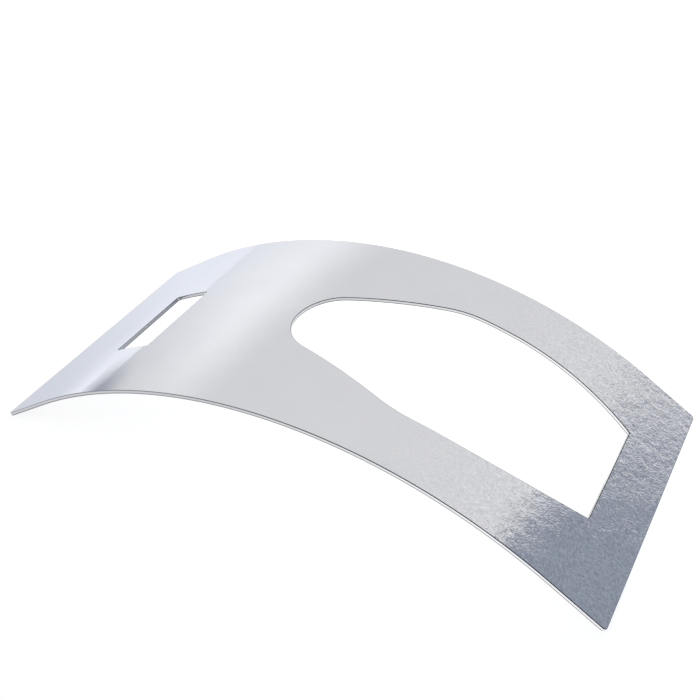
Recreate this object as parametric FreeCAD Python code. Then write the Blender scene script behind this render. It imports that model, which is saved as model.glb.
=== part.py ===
"""Arched wine bottle holder: one rolled sheet of polished stainless steel on four clear pads.

The sheet is a rectangle, cut flat and then rolled, so that it stands like a low bridge on its
two short ends. An open bottle lies through the large opening, its neck raised towards -X and
its heel on the table at +X, and its cork rests in the small opening near the -X end.

Frame: the origin is on the table under the middle of the holder, +X runs along the sheet
towards the bottle's heel, +Y to the back and +Z up. Lengths are millimetres, angles degrees.
"""
import FreeCAD, Part
import math
import os

from FreeCAD import Vector

# The sheet
SHEET_LENGTH = 338.0            # flat, along the middle of its thickness
SHEET_WIDTH = 150.0
SHEET_THICKNESS = 2.0
BEND_RADIUS = 240.0             # to the underside
STRAIGHT_END = 30.0             # left unbent at each end by the rolls
CORNER_RADIUS = 2.0
EDGE_BREAK = 0.3                # rounding of every polished edge

# What the holder is made for
BOTTLE_DIAMETER = 75.0
CORK_DIAMETER = 24.0
CORK_LENGTH = 47.5

# Bottle opening, measured on the flat sheet
BOTTLE_SIDE_CLEARANCE = 4.5     # each side of the bottle, at the opening's widest
BOTTLE_OPENING_LENGTH = 168.0   # from the nose to the straight edge at the bottle's heel
HEEL_EDGE_MARGIN = 27.0         # from that straight edge to the sheet's end
HEEL_CORNER_INSET = 10.5        # how much each side closes in towards the heel
HEEL_SIDE_LENGTH = 72.0         # stretch over which it closes in
PARALLEL_LENGTH = 14.0          # stretch with straight sides at the widest
SHOULDER_RADIUS = 60.0
NOSE_RADIUS = 24.0

# Cork opening, measured on the flat sheet
CORK_SEAT = 1.5                 # by which the opening is narrower than the cork
CORK_END_CLEARANCE = 3.25       # at each end of the cork
CORK_OPENING_MARGIN = 50.5      # from the sheet's end to the opening
CORK_OPENING_SHIFT = -7.0       # from the sheet's centre line, towards the front
CORK_CORNER_RADIUS = 1.0

# Clear pads under the four corners
PAD_DIAMETER = 8.0
PAD_THICKNESS = 1.5
PAD_END_MARGIN = 1.0            # from the pad's rim to the sheet's end
PAD_SIDE_MARGIN = 6.0           # from the pad's rim to the sheet's side
PAD_SQUASH = 0.3                # height of the rim that the weight presses flat
PAD_RIM_ROUND = 0.3

# Derived
MIDDLE_RADIUS = BEND_RADIUS + SHEET_THICKNESS / 2
HALF_LENGTH = SHEET_LENGTH / 2
HALF_WIDTH = SHEET_WIDTH / 2
HALF_BEND = HALF_LENGTH - STRAIGHT_END
END_SLOPE = HALF_BEND / MIDDLE_RADIUS                     # radians
PAD_RADIUS = PAD_DIAMETER / 2
CUTTER_REACH = 4 * SHEET_THICKNESS                        # past each face of the sheet
TOUCHING = 0.001                                          # distance that counts as none


def underside_lift():
    """Height of the sheet's lowest edge over the table, which the pads give it."""
    low_rim = PAD_THICKNESS * math.cos(END_SLOPE) - PAD_END_MARGIN * math.sin(END_SLOPE)
    return low_rim - PAD_SQUASH


def bend_centre_height():
    end_drop = BEND_RADIUS * math.cos(END_SLOPE) - STRAIGHT_END * math.sin(END_SLOPE)
    return underside_lift() - end_drop


def slope_at(distance):
    """Slope of the sheet, in radians, at a distance along it from its middle."""
    bent = max(-HALF_BEND, min(HALF_BEND, distance))
    return bent / MIDDLE_RADIUS


def on_sheet(distance, across, height):
    """Point at a distance along the sheet, and a height over the middle of its thickness."""
    slope = slope_at(distance)
    straight = distance - slope * MIDDLE_RADIUS
    radius = MIDDLE_RADIUS + height
    x = radius * math.sin(slope) + straight * math.cos(slope)
    z = bend_centre_height() + radius * math.cos(slope) - straight * math.sin(slope)
    return Vector(x, across, z)


def stand_on_sheet(shape, distance, across, height):
    """Turn a shape made round the origin to the sheet's slope, and put it there."""
    shape.rotate(Vector(0, 0, 0), Vector(0, 1, 0), math.degrees(slope_at(distance)))
    shape.translate(on_sheet(distance, across, height))
    return shape


def sheet_profile():
    """Side outline of the bent sheet: two concentric arcs with straight ends."""
    top = SHEET_THICKNESS / 2
    across = -HALF_WIDTH
    stations = (-HALF_LENGTH, -HALF_BEND, 0, HALF_BEND, HALF_LENGTH)
    over = [on_sheet(station, across, top) for station in stations]
    under = [on_sheet(station, across, -top) for station in stations]
    edges = []
    for side in (over, under):
        edges.append(Part.makeLine(side[0], side[1]))
        edges.append(Part.Arc(side[1], side[2], side[3]).toShape())
        edges.append(Part.makeLine(side[3], side[4]))
    edges.append(Part.makeLine(over[0], under[0]))
    edges.append(Part.makeLine(over[4], under[4]))
    return Part.Face(Part.Wire(Part.__sortEdges__(edges)))


def bend_end_x():
    return MIDDLE_RADIUS * math.sin(END_SLOPE)


def is_corner_edge(edge):
    """An outer corner's edge is as long as the sheet is thick and lies at a side of it."""
    middle = edge.CenterOfMass
    short = edge.Length < 1.5 * SHEET_THICKNESS
    return short and abs(abs(middle.y) - HALF_WIDTH) < SHEET_THICKNESS / 10


def is_rim_edge(edge):
    """The rims run round the upper and the under face; the rest cross the thickness or the bend."""
    middle = edge.CenterOfMass
    crosses_thickness = abs(edge.Length - SHEET_THICKNESS) < 1e-6
    crosses_bend = abs(middle.y) < 1e-6 and abs(abs(middle.x) - bend_end_x()) < SHEET_THICKNESS
    return not crosses_thickness and not crosses_bend


def rolled_sheet():
    """The bent sheet before its openings are cut, with round corners and broken edges."""
    sheet = sheet_profile().extrude(Vector(0, SHEET_WIDTH, 0))
    corners = [edge for edge in sheet.Edges if is_corner_edge(edge)]
    sheet = sheet.makeFillet(CORNER_RADIUS, corners)
    rims = [edge for edge in sheet.Edges if is_rim_edge(edge)]
    return sheet.makeFillet(EDGE_BREAK, rims).Solids[0]


def arc_points(centre, radius, start, finish, count):
    """Points on a flat arc, by angle from +X in radians, as (distance, across) pairs."""
    points = []
    for step in range(count + 1):
        angle = start + (finish - start) * step / count
        points.append((centre[0] + radius * math.cos(angle), centre[1] + radius * math.sin(angle)))
    return points


def bottle_opening_side():
    """The flat outline of one side, from the nose to just past the heel edge, by stretches."""
    heel = HALF_LENGTH - HEEL_EDGE_MARGIN
    widest = BOTTLE_DIAMETER / 2 + BOTTLE_SIDE_CLEARANCE
    parallel_end = heel - HEEL_SIDE_LENGTH
    parallel_start = parallel_end - PARALLEL_LENGTH
    nose = (heel - BOTTLE_OPENING_LENGTH + NOSE_RADIUS, 0.0)
    shoulder = (parallel_start, widest - SHOULDER_RADIUS)

    # The taper touches the nose and the shoulder arcs from the same side.
    along = shoulder[0] - nose[0]
    rise = shoulder[1] - nose[1]
    apart = math.hypot(along, rise)
    turn = math.atan2(rise, along) + math.asin((SHOULDER_RADIUS - NOSE_RADIUS) / apart)
    taper_normal = math.pi / 2 + turn

    closing_radius = (HEEL_SIDE_LENGTH ** 2 + HEEL_CORNER_INSET ** 2) / (2 * HEEL_CORNER_INSET)
    closing_turn = math.asin((HEEL_SIDE_LENGTH + CUTTER_REACH) / closing_radius)
    closing = (parallel_end, widest - closing_radius)

    up = math.pi / 2
    nose_arc = arc_points(nose, NOSE_RADIUS, math.pi, taper_normal, 12)
    shoulder_arc = arc_points(shoulder, SHOULDER_RADIUS, taper_normal, up, 8)
    closing_arc = arc_points(closing, closing_radius, up, up - closing_turn, 8)
    taper = [nose_arc[-1], shoulder_arc[0]]
    parallel = [shoulder_arc[-1], closing_arc[0]]
    return [nose_arc, taper, shoulder_arc, parallel, closing_arc]


def plan_edge(points, side):
    """An upright cutter's edge over flat points, on one side (1 or -1) of the centre line."""
    bottom = -CUTTER_REACH
    spots = []
    for distance, across in points:
        spot = on_sheet(distance, side * across, 0)
        spots.append(Vector(spot.x, spot.y, bottom))
    if len(spots) == 2:
        return Part.makeLine(spots[0], spots[1])
    curve = Part.BSplineCurve()
    curve.interpolate(spots)
    return curve.toShape()


def bottle_opening_cutter():
    """Upright walls along the sides, and a heel edge cut square to the sloping sheet."""
    stretches = bottle_opening_side()
    edges = [plan_edge(points, side) for side in (1, -1) for points in stretches]
    far = [edge.BoundBox.XMax for edge in edges]
    across = stretches[-1][-1][1]
    edges.append(Part.makeLine(Vector(max(far), across, -CUTTER_REACH),
                               Vector(max(far), -across, -CUTTER_REACH)))
    outline = Part.Face(Part.Wire(Part.__sortEdges__(edges)))
    crown = on_sheet(0, 0, SHEET_THICKNESS / 2).z
    column = outline.extrude(Vector(0, 0, crown + 2 * CUTTER_REACH))

    heel = HALF_LENGTH - HEEL_EDGE_MARGIN
    block = Part.makeBox(4 * CUTTER_REACH, SHEET_WIDTH, 8 * CUTTER_REACH)
    block.translate(Vector(0, -HALF_WIDTH, -4 * CUTTER_REACH))
    return column.cut(stand_on_sheet(block, heel, 0, 0))


def cork_opening_cutter():
    width = CORK_DIAMETER - CORK_SEAT
    length = CORK_LENGTH + 2 * CORK_END_CLEARANCE
    middle = -HALF_LENGTH + CORK_OPENING_MARGIN + width / 2
    box = Part.makeBox(width, length, 2 * CUTTER_REACH)
    box.translate(Vector(-width / 2, -length / 2, -CUTTER_REACH))
    upright = [edge for edge in box.Edges if abs(edge.Length - 2 * CUTTER_REACH) < 1e-6]
    box = box.makeFillet(CORK_CORNER_RADIUS, upright)
    return stand_on_sheet(box, middle, CORK_OPENING_SHIFT, 0)


def cut_opening(sheet, cutter):
    """Cut an opening, then break its rims: the edges on the cutter's surface, faces' seams aside."""
    sheet = sheet.cut(cutter)
    rims = []
    for edge in sheet.Edges:
        middle = edge.valueAt((edge.FirstParameter + edge.LastParameter) / 2)
        on_cutter = cutter.distToShape(Part.Vertex(middle))[0] < TOUCHING
        if on_cutter and edge.Length > 1.5 * SHEET_THICKNESS:
            rims.append(edge)
    return sheet.makeFillet(EDGE_BREAK, rims).Solids[0]


def holder_sheet():
    sheet = cut_opening(rolled_sheet(), bottle_opening_cutter())
    return cut_opening(sheet, cork_opening_cutter())


def corner_pad(end, side):
    """A round pad stuck to the underside, its lower rim pressed flat on the table."""
    pad = Part.makeCylinder(PAD_RADIUS, PAD_THICKNESS, Vector(0, 0, -PAD_THICKNESS))
    rim = [edge for edge in pad.Edges if abs(edge.CenterOfMass.z + PAD_THICKNESS) < 1e-6]
    pad = pad.makeFillet(PAD_RIM_ROUND, rim).Solids[0]
    along = end * (HALF_LENGTH - PAD_END_MARGIN - PAD_RADIUS)
    across = side * (HALF_WIDTH - PAD_SIDE_MARGIN - PAD_RADIUS)
    pad = stand_on_sheet(pad, along, across, -SHEET_THICKNESS / 2)
    reach = 2 * PAD_DIAMETER
    table = Part.makeBox(reach, reach, reach)
    table.translate(Vector(pad.CenterOfMass.x - reach / 2, across - reach / 2, -reach))
    return pad.cut(table).Solids[0]


def main():
    os.makedirs("parts", exist_ok=True)
    nodes = {"holder_sheet": holder_sheet()}
    for end_name, end in (("neck_end", -1), ("heel_end", 1)):
        for side_name, side in (("front", -1), ("back", 1)):
            nodes[f"pad_{end_name}_{side_name}"] = corner_pad(end, side)
    for name, shape in nodes.items():
        shape.exportStep(f"parts/{name}.step")
        box = shape.BoundBox
        print(f"{name}: valid {shape.isValid()}, solids {len(shape.Solids)}, volume {shape.Volume:.1f},"
              f" x {box.XMin:.2f}..{box.XMax:.2f}, y {box.YMin:.2f}..{box.YMax:.2f},"
              f" z {box.ZMin:.2f}..{box.ZMax:.2f}")


main()
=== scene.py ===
"""Looks of the arched wine bottle holder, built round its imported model. All lengths are metres."""
import math

import bpy
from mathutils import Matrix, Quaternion, Vector


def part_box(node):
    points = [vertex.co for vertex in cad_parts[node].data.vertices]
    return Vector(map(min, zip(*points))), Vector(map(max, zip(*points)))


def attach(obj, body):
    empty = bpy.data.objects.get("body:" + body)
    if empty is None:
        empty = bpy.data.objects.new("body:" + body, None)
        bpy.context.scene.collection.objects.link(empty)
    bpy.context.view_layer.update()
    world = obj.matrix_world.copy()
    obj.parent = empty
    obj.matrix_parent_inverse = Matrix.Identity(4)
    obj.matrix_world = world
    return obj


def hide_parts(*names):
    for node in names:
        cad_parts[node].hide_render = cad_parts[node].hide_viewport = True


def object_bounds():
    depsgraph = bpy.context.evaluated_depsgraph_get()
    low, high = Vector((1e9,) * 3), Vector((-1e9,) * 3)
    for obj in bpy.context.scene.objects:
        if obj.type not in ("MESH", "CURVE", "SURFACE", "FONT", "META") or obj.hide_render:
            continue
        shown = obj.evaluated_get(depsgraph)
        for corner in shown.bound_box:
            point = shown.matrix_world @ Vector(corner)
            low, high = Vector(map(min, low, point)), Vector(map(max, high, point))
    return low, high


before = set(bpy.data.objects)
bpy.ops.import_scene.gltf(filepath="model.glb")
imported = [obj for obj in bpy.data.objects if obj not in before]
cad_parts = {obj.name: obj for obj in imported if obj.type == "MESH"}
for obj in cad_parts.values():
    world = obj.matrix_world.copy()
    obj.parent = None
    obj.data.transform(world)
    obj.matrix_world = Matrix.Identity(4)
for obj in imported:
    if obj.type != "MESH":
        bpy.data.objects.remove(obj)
cad_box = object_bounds()

# The sheet, measured flat
SHEET_LOW, SHEET_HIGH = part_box("holder_sheet")
SHEET_LENGTH = 0.338
SHEET_WIDTH = SHEET_HIGH.y - SHEET_LOW.y
SHEET_THICKNESS = 0.002
BEND_RADIUS = 0.240
STRAIGHT_END = 0.030
CORNER_RADIUS = 0.002
EDGE_BREAK = 0.0003
BEND_PITCH = 0.002              # width of the strips that follow the bend

# Bottle opening, measured flat
WIDEST_HALF = 0.042
OPENING_LENGTH = 0.168
HEEL_MARGIN = 0.027
HEEL_INSET = 0.0105
HEEL_SIDE = 0.072
PARALLEL_SIDE = 0.014
SHOULDER_RADIUS = 0.060
NOSE_RADIUS = 0.024

# Cork opening, measured flat
CORK_WIDTH = 0.0225
CORK_LENGTH = 0.054
CORK_MARGIN = 0.0505
CORK_SHIFT = -0.007
CORK_CORNER = 0.001

# Derived
HALF_LENGTH = SHEET_LENGTH / 2
HALF_WIDTH = SHEET_WIDTH / 2
HALF_BEND = HALF_LENGTH - STRAIGHT_END
MIDDLE_RADIUS = BEND_RADIUS + SHEET_THICKNESS / 2
END_SLOPE = HALF_BEND / MIDDLE_RADIUS
CENTRE = (Vector(cad_box[0]) + Vector(cad_box[1])) / 2

# The camera: angles in degrees, distance in metres, lens in millimetres
VIEW_AZIMUTH = 28.30
VIEW_ELEVATION = 36.24
VIEW_ROLL = 1.46
VIEW_DISTANCE = 0.5543
VIEW_AIM = Vector((-0.0073, 0.0181, 0.0001))    # from the middle of the holder
LENS = 56.21


# ---------------------------------------------------------------- small helpers

def select_only(piece):
    bpy.ops.object.select_all(action="DESELECT")
    piece.select_set(True)
    bpy.context.view_layer.objects.active = piece


def settle(piece):
    """Puts the piece's place and turn into its mesh."""
    select_only(piece)
    bpy.ops.object.transform_apply(location=True, rotation=True, scale=True)


def apply_modifiers(piece):
    select_only(piece)
    for name in [modifier.name for modifier in piece.modifiers]:
        bpy.ops.object.modifier_apply(modifier=name)


def arc(centre, radius, start, finish, count):
    """Points on an arc, between two angles in radians."""
    points = []
    for step in range(count + 1):
        angle = start + (finish - start) * step / count
        points.append((centre[0] + radius * math.cos(angle), centre[1] + radius * math.sin(angle)))
    return points


# ---------------------------------------------------------------- node helpers
# The owner is the material, or the world, that the nodes belong to.

def add_node(owner, kind, **values):
    """A node of that kind, with its sockets or properties set by name."""
    node = owner.node_tree.nodes.new(kind)
    for name, value in values.items():
        if hasattr(node, name):
            setattr(node, name, value)
        else:
            node.inputs[name.replace("_", " ").title()].default_value = value
    return node


def join(owner, output, target):
    owner.node_tree.links.new(output, target)


def new_material(name, **values):
    """A material with one principled shader, its constants set on its own sockets."""
    material = bpy.data.materials.new(name)
    material.use_nodes = True
    shader = material.node_tree.nodes["Principled BSDF"]
    for key, value in values.items():
        shader.inputs[key.replace("_", " ").title().replace("Ior", "IOR")].default_value = value
    return material, shader


def flat_coordinates(owner, stretch=(1, 1, 1)):
    """The sheet's own flat coordinates, in metres, multiplied per axis."""
    place = add_node(owner, "ShaderNodeUVMap", uv_map="flat")
    mapping = add_node(owner, "ShaderNodeMapping")
    mapping.inputs["Scale"].default_value = stretch
    join(owner, place.outputs["UV"], mapping.inputs["Vector"])
    return mapping.outputs["Vector"]


def axes(owner, coordinates):
    """The outputs X, Y and Z of a vector."""
    split = add_node(owner, "ShaderNodeSeparateXYZ")
    join(owner, coordinates, split.inputs["Vector"])
    return split.outputs


def noise(owner, coordinates, scale, detail=2.0, roughness=0.5, distortion=0.0):
    node = add_node(owner, "ShaderNodeTexNoise", scale=scale, detail=detail, roughness=roughness,
                    distortion=distortion)
    join(owner, coordinates, node.inputs["Vector"])
    return node.outputs["Fac"]


def remap(owner, value, low, high, to_low, to_high):
    """Turns one span of values into another, smoothly at both ends."""
    node = add_node(owner, "ShaderNodeMapRange", interpolation_type="SMOOTHSTEP", from_min=low,
                    from_max=high, to_min=to_low, to_max=to_high)
    join(owner, value, node.inputs["Value"])
    return node.outputs["Result"]


def mix_colours(owner, share):
    """A colour mixer led by a value from 0 to 1: its two colour inputs and its result."""
    node = add_node(owner, "ShaderNodeMix", data_type="RGBA")
    join(owner, share, node.inputs["Factor"])
    first, second = [socket for socket in node.inputs if socket.type == "RGBA"]
    result, = [socket for socket in node.outputs if socket.type == "RGBA"]
    return first, second, result


def tint(owner, value, low, high):
    """A colour between two, by a value from 0 to 1."""
    first, second, result = mix_colours(owner, value)
    first.default_value = low
    second.default_value = high
    return result


def blend(owner, share, first, second):
    """A value between two others; the share, a number or a value, belongs to the second."""
    node = add_node(owner, "ShaderNodeMix", data_type="FLOAT")
    if isinstance(share, float):
        node.inputs["Factor"].default_value = share
    else:
        join(owner, share, node.inputs["Factor"])
    join(owner, first, node.inputs["A"])
    join(owner, second, node.inputs["B"])
    return node.outputs["Result"]


def multiply(owner, first, second):
    node = add_node(owner, "ShaderNodeMath", operation="MULTIPLY")
    join(owner, first, node.inputs[0])
    join(owner, second, node.inputs[1])
    return node.outputs["Value"]


def dim(owner, colour, share):
    """A colour made lighter or darker by a value round 1."""
    node = add_node(owner, "ShaderNodeVectorMath", operation="SCALE")
    join(owner, colour, node.inputs[0])
    join(owner, share, node.inputs["Scale"])
    return node.outputs["Vector"]


def bump(owner, height, depth, before=None):
    """A bump of the given depth in metres, laid over another when one is given."""
    node = add_node(owner, "ShaderNodeBump", strength=1.0, distance=depth)
    join(owner, height, node.inputs["Height"])
    if before is not None:
        join(owner, before, node.inputs["Normal"])
    return node.outputs["Normal"]


# ---------------------------------------------------------------- materials

# Noise scales below count the features in a metre of sheet.

# The two colours that each finish runs between
MIRROR_STEEL = ((0.72, 0.725, 0.745, 1), (0.775, 0.78, 0.795, 1))
GRAZING_TINT = (0.72, 0.74, 0.80, 1)
# Painted shade: the cut edge runs from the darker first colour at the neck end to the second at the heel
# end.
CUT_STEEL_PAINTED_SHADE = ((0.56, 0.565, 0.575, 1), (0.88, 0.885, 0.89, 1))
# Painted shade: the rounded corners run from the first colour at the neck end to the darker second at the
# heel end.
ARRIS_STEEL_PAINTED_SHADE = ((0.30, 0.305, 0.315, 1), (0.04, 0.042, 0.05, 1))
SATIN_STEEL = ((0.60, 0.605, 0.615, 1), (0.74, 0.745, 0.75, 1))
SILICONE = ((0.82, 0.84, 0.84, 1), (0.93, 0.94, 0.94, 1))

# Relief, in metres
WAVE_DEPTH = 0.00005
DENT_DEPTH = 0.00014
RIPPLE_DEPTH = 0.00010
POLISH_LINE_DEPTH = 0.0000012
CUT_MARK_DEPTH = 0.000012
BRUSH_DEPTH = 0.000006
CLOUD_DEPTH = 0.00001

PAINTED_RIPPLE_SHADE = 0.19             # painted shade: how much the ripples lighten or darken the steel's colour


def strokes_along(material, plain, angle):
    """Short soft strokes that run at that angle, in degrees, to the sheet's length."""
    turned = add_node(material, "ShaderNodeVectorRotate", rotation_type="Z_AXIS", angle=math.radians(angle))
    join(material, plain, turned.inputs["Vector"])
    stretched = add_node(material, "ShaderNodeMapping")
    stretched.inputs["Scale"].default_value = (0.62, 1, 1)
    join(material, turned.outputs["Vector"], stretched.inputs["Vector"])
    return noise(material, stretched.outputs["Vector"], 900.0, detail=0.0, distortion=1.3)


def mirror_polish():
    """The upper face: mirror polish with fine ripples that deepen towards the heel end, and painted shade
    from the ripples in its colour.
    """
    material, shader = new_material("mirror_polish", metallic=1.0, specular_tint=GRAZING_TINT)
    plain = flat_coordinates(material)
    place = axes(material, plain)

    patches = remap(material, noise(material, plain, 75.0, detail=0.0), 0.42, 0.58, 0.0, 1.0)
    strokes = blend(material, patches, strokes_along(material, plain, 50),
                    strokes_along(material, plain, -25))
    grains = noise(material, plain, 1000.0, detail=1.0, distortion=0.7)
    ripples = blend(material, 0.65, grains, strokes)
    ripple_reach = remap(material, place["X"], 0.04, 0.14, 0.04, 1.0)
    haze = noise(material, plain, 38.0, detail=4.0)

    steel = tint(material, haze, *MIRROR_STEEL)
    # Painted shade: the ripples lighten and darken the steel's colour, more towards the heel end.
    shade = remap(material, ripples, 0.25, 0.75, -PAINTED_RIPPLE_SHADE, PAINTED_RIPPLE_SHADE)
    painted_shade_factor = add_node(material, "ShaderNodeMath", operation="ADD")
    join(material, multiply(material, shade, ripple_reach), painted_shade_factor.inputs[0])
    painted_shade_factor.inputs[1].default_value = 1.0
    join(material, dim(material, steel, painted_shade_factor.outputs["Value"]), shader.inputs["Base Color"])
    join(material, remap(material, haze, 0.3, 0.7, 0.03, 0.06), shader.inputs["Roughness"])

    deeper_behind = remap(material, place["Y"], -0.06, 0.03, 0.65, 1.3)
    relief = multiply(material, ripple_reach, deeper_behind)
    dent = multiply(material, noise(material, plain, 190.0, detail=1.0), relief)
    waves = bump(material, noise(material, plain, 70.0, detail=1.0), WAVE_DEPTH)
    dents = bump(material, dent, DENT_DEPTH, waves)
    rippled = bump(material, multiply(material, ripples, relief), RIPPLE_DEPTH, dents)
    polish_lines = noise(material, flat_coordinates(material, (0.03, 1, 1)), 2600.0, detail=3.0)
    join(material, bump(material, polish_lines, POLISH_LINE_DEPTH, rippled), shader.inputs["Normal"])
    return material


def cut_edge():
    """The bright cut edge: fine marks run across the thickness, the lower part of the thickness is darker,
    and painted shade darkens the edge towards the neck end.
    """
    material, shader = new_material("cut_edge", metallic=1.0)
    plain = flat_coordinates(material)
    marks = noise(material, plain, 1900.0, detail=2.0)
    # Painted shade: the cut edge's colour darkens towards the neck end.
    painted_shade_ramp = remap(material, axes(material, plain)["X"], -0.05, 0.12, 0.0, 1.0)
    bright = tint(material, painted_shade_ramp, *CUT_STEEL_PAINTED_SHADE)

    # The lower part of the thickness is darker.
    depth = add_node(material, "ShaderNodeUVMap", uv_map="depth")
    darker_below = remap(material, axes(material, depth.outputs["UV"])["X"], -0.26, -0.12, 0.35, 1.0)
    join(material, dim(material, bright, darker_below), shader.inputs["Base Color"])
    join(material, remap(material, marks, 0.3, 0.7, 0.12, 0.24), shader.inputs["Roughness"])
    join(material, bump(material, marks, CUT_MARK_DEPTH), shader.inputs["Normal"])
    return material


def eased_arris():
    """The narrow rounded corners beside the cut edge: deburred, so duller, and dark with painted shade all
    along, darkest towards the heel end.
    """
    material, shader = new_material("eased_arris", metallic=1.0)
    plain = flat_coordinates(material)
    nicks = noise(material, plain, 700.0, detail=3.0)
    # Painted shade: the corners' colour is dark, and darker towards the heel end.
    painted_shade_ramp = remap(material, axes(material, plain)["X"], -0.07, 0.05, 0.0, 1.0)
    join(material, tint(material, painted_shade_ramp, *ARRIS_STEEL_PAINTED_SHADE), shader.inputs["Base Color"])
    join(material, remap(material, nicks, 0.3, 0.7, 0.20, 0.34), shader.inputs["Roughness"])
    return material


def satin_back():
    """The underside: a fine brushed finish that runs along the sheet."""
    material, shader = new_material("satin_back", metallic=1.0, anisotropic=0.5)
    brushed = noise(material, flat_coordinates(material, (0.02, 1, 1)), 3200.0, detail=4.0, roughness=0.6)
    cloud = noise(material, flat_coordinates(material), 25.0, detail=3.0)
    join(material, tint(material, brushed, *SATIN_STEEL), shader.inputs["Base Color"])
    join(material, remap(material, cloud, 0.3, 0.7, 0.24, 0.34), shader.inputs["Roughness"])
    join(material, bump(material, brushed, BRUSH_DEPTH), shader.inputs["Normal"])
    return material


def clear_silicone():
    """Soft translucent pads, slightly cloudy inside."""
    material, shader = new_material("clear_silicone", transmission_weight=0.7, ior=1.41)
    place = add_node(material, "ShaderNodeTexCoord")
    cloud = noise(material, place.outputs["Object"], 900.0, detail=3.0)
    join(material, tint(material, cloud, *SILICONE), shader.inputs["Base Color"])
    join(material, remap(material, cloud, 0.3, 0.7, 0.28, 0.42), shader.inputs["Roughness"])
    join(material, bump(material, cloud, CLOUD_DEPTH), shader.inputs["Normal"])
    return material


# ---------------------------------------------------------------- the sheet

def rounded_rectangle(low, high, radius, steps):
    """A rectangle's outline with round corners, counter-clockwise."""
    corners = ((high[0] - radius, low[1] + radius, -90), (high[0] - radius, high[1] - radius, 0),
               (low[0] + radius, high[1] - radius, 90), (low[0] + radius, low[1] + radius, 180))
    points = []
    for x, y, start in corners:
        points += arc((x, y), radius, math.radians(start), math.radians(start + 90), steps)
    return points


def bottle_opening_outline():
    """Round nose, straight taper, round shoulder, parallel stretch, and sides that close in."""
    heel = HALF_LENGTH - HEEL_MARGIN
    parallel_end = heel - HEEL_SIDE
    nose = (heel - OPENING_LENGTH + NOSE_RADIUS, 0.0)
    shoulder = (parallel_end - PARALLEL_SIDE, WIDEST_HALF - SHOULDER_RADIUS)
    along, rise = shoulder[0] - nose[0], shoulder[1] - nose[1]
    lean = math.asin((SHOULDER_RADIUS - NOSE_RADIUS) / math.hypot(along, rise))
    taper_normal = math.pi / 2 + math.atan2(rise, along) + lean
    closing_radius = (HEEL_SIDE ** 2 + HEEL_INSET ** 2) / (2 * HEEL_INSET)
    closing = (parallel_end, WIDEST_HALF - closing_radius)
    closing_turn = math.asin(HEEL_SIDE / closing_radius)

    side = arc(nose, NOSE_RADIUS, math.pi, taper_normal, 36)
    side += arc(shoulder, SHOULDER_RADIUS, taper_normal, math.pi / 2, 12)
    side += arc(closing, closing_radius, math.pi / 2, math.pi / 2 - closing_turn, 24)
    other_side = [(x, -y) for x, y in side[1:]]
    return side + other_side[::-1]


def cork_opening_outline():
    left = -HALF_LENGTH + CORK_MARGIN
    low = (left, CORK_SHIFT - CORK_LENGTH / 2)
    high = (left + CORK_WIDTH, CORK_SHIFT + CORK_LENGTH / 2)
    return rounded_rectangle(low, high, CORK_CORNER, 6)[::-1]


def cut_flat_sheet():
    """The flat blank: a filled outline with two openings, its rims rounded."""
    curve = bpy.data.curves.new("holder_sheet_visual", "CURVE")
    curve.dimensions = "2D"
    curve.fill_mode = "BOTH"
    edge = rounded_rectangle((-HALF_LENGTH, -HALF_WIDTH), (HALF_LENGTH, HALF_WIDTH), CORNER_RADIUS, 8)
    for outline in (edge, bottle_opening_outline(), cork_opening_outline()):
        spline = curve.splines.new("POLY")
        spline.points.add(len(outline) - 1)
        for point, (x, y) in zip(spline.points, outline):
            point.co = (x, y, 0, 1)
        spline.use_cyclic_u = True
    curve.extrude = SHEET_THICKNESS / 2 - EDGE_BREAK
    curve.bevel_depth = EDGE_BREAK
    curve.bevel_resolution = 3
    curve.offset = -EDGE_BREAK
    blank = bpy.data.objects.new("holder_sheet_visual", curve)
    bpy.context.scene.collection.objects.link(blank)
    select_only(blank)
    bpy.ops.object.convert(target="MESH")
    return bpy.context.object


def score_for_bending(blank):
    """Cuts the faces into narrow strips across the bend, so that it comes out smooth."""
    select_only(blank)
    bpy.ops.object.mode_set(mode="EDIT")
    bpy.ops.mesh.select_all(action="SELECT")
    bpy.ops.mesh.remove_doubles(threshold=0.000001)
    bpy.ops.mesh.normals_make_consistent(inside=False)
    strips = round(2 * HALF_BEND / BEND_PITCH)
    for step in range(strips + 1):
        x = -HALF_BEND + 2 * HALF_BEND * step / strips
        bpy.ops.mesh.select_all(action="SELECT")
        bpy.ops.mesh.bisect(plane_co=(x, 0, 0), plane_no=(1, 0, 0))
    bpy.ops.object.mode_set(mode="OBJECT")


def lay_flat_coordinates(blank):
    """Keeps each corner's flat place, so that the finish follows the sheet when it is bent."""
    flat = blank.data.uv_layers.new(name="flat")
    depth = blank.data.uv_layers.new(name="depth")
    for loop, flat_spot, depth_spot in zip(blank.data.loops, flat.data, depth.data):
        place = blank.data.vertices[loop.vertex_index].co
        flat_spot.uv = (place.x, place.y)
        depth_spot.uv = (place.z / SHEET_THICKNESS, 0)


def finish_faces(blank):
    """The upper face is mirror polished, the underside satin, the cut rims bright and the rounded corners
    beside them dark with painted shade.
    """
    for material in (mirror_polish(), satin_back(), cut_edge(), eased_arris()):
        blank.data.materials.append(material)
    level, upright = 0.999, 0.001
    for face in blank.data.polygons:
        face.select = abs(face.normal.z) > level
        if face.select:
            face.material_index = 0 if face.normal.z > 0 else 1
        else:
            face.material_index = 2 if abs(face.normal.z) < upright else 3
    select_only(blank)
    bpy.ops.object.mode_set(mode="EDIT")
    bpy.ops.mesh.select_mode(type="FACE")
    bpy.ops.mesh.region_to_loop()
    bpy.ops.mesh.mark_sharp()
    bpy.ops.object.mode_set(mode="OBJECT")
    bpy.ops.object.shade_smooth()


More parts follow.
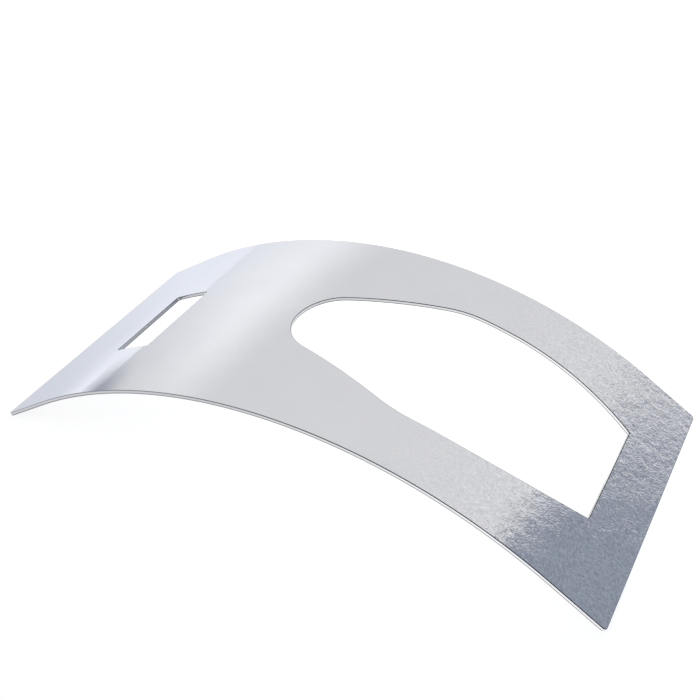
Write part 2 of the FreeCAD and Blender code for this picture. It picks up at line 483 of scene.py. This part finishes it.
def roll(blank):
    """Stands the blank on its side, bends it, and lays it down at the crown's height."""
    blank.rotation_euler = (math.pi / 2, 0, 0)
    settle(blank)
    bend = blank.modifiers.new("rolls", "SIMPLE_DEFORM")
    bend.deform_method = "BEND"
    bend.deform_axis = "Z"
    bend.angle = 2 * END_SLOPE
    bend.limits = (STRAIGHT_END / SHEET_LENGTH, 1 - STRAIGHT_END / SHEET_LENGTH)
    apply_modifiers(blank)
    blank.rotation_euler = (-math.pi / 2, 0, 0)
    blank.location = (0, 0, SHEET_HIGH.z - SHEET_THICKNESS / 2)
    settle(blank)


def make_sheet():
    sheet = cut_flat_sheet()
    score_for_bending(sheet)
    lay_flat_coordinates(sheet)
    finish_faces(sheet)
    roll(sheet)
    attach(sheet, "root")
    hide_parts("holder_sheet")


def finish_pads():
    silicone = clear_silicone()
    for name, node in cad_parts.items():
        if name.startswith("pad_"):
            node.data.materials.clear()
            node.data.materials.append(silicone)


# ---------------------------------------------------------------- stage, light and camera

# Azimuth, elevation, half width, half height and fade in degrees, then the radiance
SOFT_BOXES = (
    (0, -4, 180, 9, 10, (0.90, 0.91, 0.93)),          # the haze along the floor's far edge
    (-16.3, 22, 50.9, 28, 4, (0.86, 0.86, 0.87)),     # the backdrop
    (-20, 6, 30.5, 17, 14, (1.18, 1.18, 1.19)),       # its brightest part, low down
    (-100, 30, 26, 24, 14, (0.72, 0.73, 0.75)),       # a panel off the neck end
    (98, 15, 20, 11, 10, (0.90, 0.92, 0.96)),         # a panel off the heel end
    (-165, 42, 24, 12, 10, (0.95, 0.95, 0.97)),       # a panel over the front
    (0, 90, 180, 18, 14, (0.90, 0.90, 0.91)),         # the light overhead
    (152, 38, 18, 14, 14, (0.17, 0.18, 0.21)),        # the dark spot behind the camera
)
ROOM_COLOUR = (0.34, 0.376, 0.447, 1)

FLAG_SIZE = (0.11, 0.15, 1)
FLAG_PLACE = (-0.509, 0.208, 0.055)
FLAG_FACING = Vector((0.819, -0.574, 0))
FLAG_COLOUR = (0.50, 0.52, 0.57, 1)

FLOOR_SIZE = 60
KEY_SIZE = 0.9
KEY_POWER = 3.0
KEY_PLACE = Vector((-0.5, -0.9, 1.3))             # from the middle of the holder


def fade_band(owner, value, middle, half, fade):
    """1 where the value is near the middle, and a soft fall to 0 past half on either side."""
    offset = add_node(owner, "ShaderNodeMath", operation="SUBTRACT")
    join(owner, value, offset.inputs[0])
    offset.inputs[1].default_value = middle
    away = add_node(owner, "ShaderNodeMath", operation="ABSOLUTE")
    join(owner, offset.outputs["Value"], away.inputs[0])
    return remap(owner, away.outputs["Value"], half - fade / 2, half + fade / 2, 1.0, 0.0)


def soft_box(world, direction, before, box):
    """Lays one soft-edged box of light over the room; azimuth 0 is behind the holder."""
    azimuth, elevation, half_width, half_height, fade = [math.radians(angle) for angle in box[:5]]
    turned = add_node(world, "ShaderNodeVectorRotate", rotation_type="Z_AXIS", angle=azimuth)
    join(world, direction, turned.inputs["Vector"])
    aim = axes(world, turned.outputs["Vector"])
    around = add_node(world, "ShaderNodeMath", operation="ARCTAN2")
    join(world, aim["X"], around.inputs[0])
    join(world, aim["Y"], around.inputs[1])
    rise = add_node(world, "ShaderNodeMath", operation="ARCSINE")
    join(world, aim["Z"], rise.inputs[0])
    across = fade_band(world, around.outputs["Value"], 0.0, half_width, fade)
    upward = fade_band(world, rise.outputs["Value"], elevation, half_height, fade)
    outside, inside, result = mix_colours(world, multiply(world, across, upward))
    join(world, before, outside)
    inside.default_value = (*box[5], 1)
    return result


def make_world():
    """A blue-grey room with soft boxes of light in it."""
    world = bpy.data.worlds.new("studio")
    world.use_nodes = True
    bpy.context.scene.world = world
    direction = add_node(world, "ShaderNodeTexCoord").outputs["Generated"]
    room = add_node(world, "ShaderNodeRGB")
    room.outputs["Color"].default_value = ROOM_COLOUR
    light = room.outputs["Color"]
    for box in SOFT_BOXES:
        light = soft_box(world, direction, light, box)
    join(world, light, world.node_tree.nodes["Background"].inputs["Color"])


def dark_card():
    """A dark card with edges that fade away."""
    material = bpy.data.materials.new("dark_card")
    material.use_nodes = True
    material.node_tree.nodes.clear()
    output = add_node(material, "ShaderNodeOutputMaterial")
    dark = add_node(material, "ShaderNodeEmission")
    dark.inputs["Color"].default_value = FLAG_COLOUR
    clear = add_node(material, "ShaderNodeBsdfTransparent")
    mix = add_node(material, "ShaderNodeMixShader")
    place = axes(material, add_node(material, "ShaderNodeUVMap").outputs["UV"])
    across, upward = [fade_band(material, place[axis], 0.5, 0.25, 0.5) for axis in ("X", "Y")]
    join(material, multiply(material, across, upward), mix.inputs["Fac"])
    join(material, clear.outputs["BSDF"], mix.inputs[1])
    join(material, dark.outputs["Emission"], mix.inputs[2])
    join(material, mix.outputs["Shader"], output.inputs["Surface"])
    return material


def make_flag():
    """A small dark card off the neck end, which the polish picks up as a smudge."""
    bpy.ops.object.select_all(action="DESELECT")
    bpy.ops.mesh.primitive_plane_add(size=1)
    flag = bpy.context.object
    flag.name = "flag"
    flag.scale = FLAG_SIZE
    flag.location = FLAG_PLACE
    flag.rotation_euler = FLAG_FACING.to_track_quat("Z", "Y").to_euler()
    flag.data.materials.append(dark_card())
    flag.visible_camera = False
    flag.visible_shadow = False
    settle(flag)


def pale_floor():
    """Matt and nearly white, and glowing with painted light that is a little brighter towards the back."""
    material, shader = new_material("pale_floor", roughness=0.9, specular_ior_level=0.1,
                                    base_color=(0.40, 0.40, 0.40, 1), emission_color=(1, 1, 1, 1))
    place = axes(material, add_node(material, "ShaderNodeTexCoord").outputs["Object"])
    # Painted light: the floor glows, more towards the back.
    join(material, remap(material, place["Y"], -0.08, 0.14, 0.76, 1.02), shader.inputs["Emission Strength"])
    return material


def make_floor():
    bpy.ops.object.select_all(action="DESELECT")
    bpy.ops.mesh.primitive_plane_add(size=FLOOR_SIZE)
    floor = bpy.context.object
    floor.name = "floor"
    floor.data.materials.append(pale_floor())


def make_key():
    key = bpy.data.lights.new("key", "AREA")
    key.shape = "RECTANGLE"
    key.size = KEY_SIZE
    key.size_y = KEY_SIZE
    key.energy = KEY_POWER
    lamp = bpy.data.objects.new("key", key)
    lamp.location = CENTRE + KEY_PLACE
    lamp.rotation_euler = KEY_PLACE.to_track_quat("Z", "Y").to_euler()
    bpy.context.scene.collection.objects.link(lamp)


def make_camera():
    azimuth, elevation = math.radians(VIEW_AZIMUTH), math.radians(VIEW_ELEVATION)
    level = math.cos(elevation)
    back = Vector((math.sin(azimuth) * level, -math.cos(azimuth) * level, math.sin(elevation)))
    data = bpy.data.cameras.new("camera")
    data.lens = LENS
    data.sensor_width = 36.0
    camera = bpy.data.objects.new("camera", data)
    camera.location = CENTRE + VIEW_AIM + back * VIEW_DISTANCE
    look = back.to_track_quat("Z", "Y") @ Quaternion((0, 0, 1), math.radians(-VIEW_ROLL))
    camera.rotation_euler = look.to_euler()
    bpy.context.scene.collection.objects.link(camera)
    bpy.context.scene.camera = camera
    bpy.context.scene.view_settings.view_transform = "Standard"


make_camera()
make_sheet()
finish_pads()
make_floor()
make_world()
make_flag()
make_key()

bpy.context.view_layer.update()
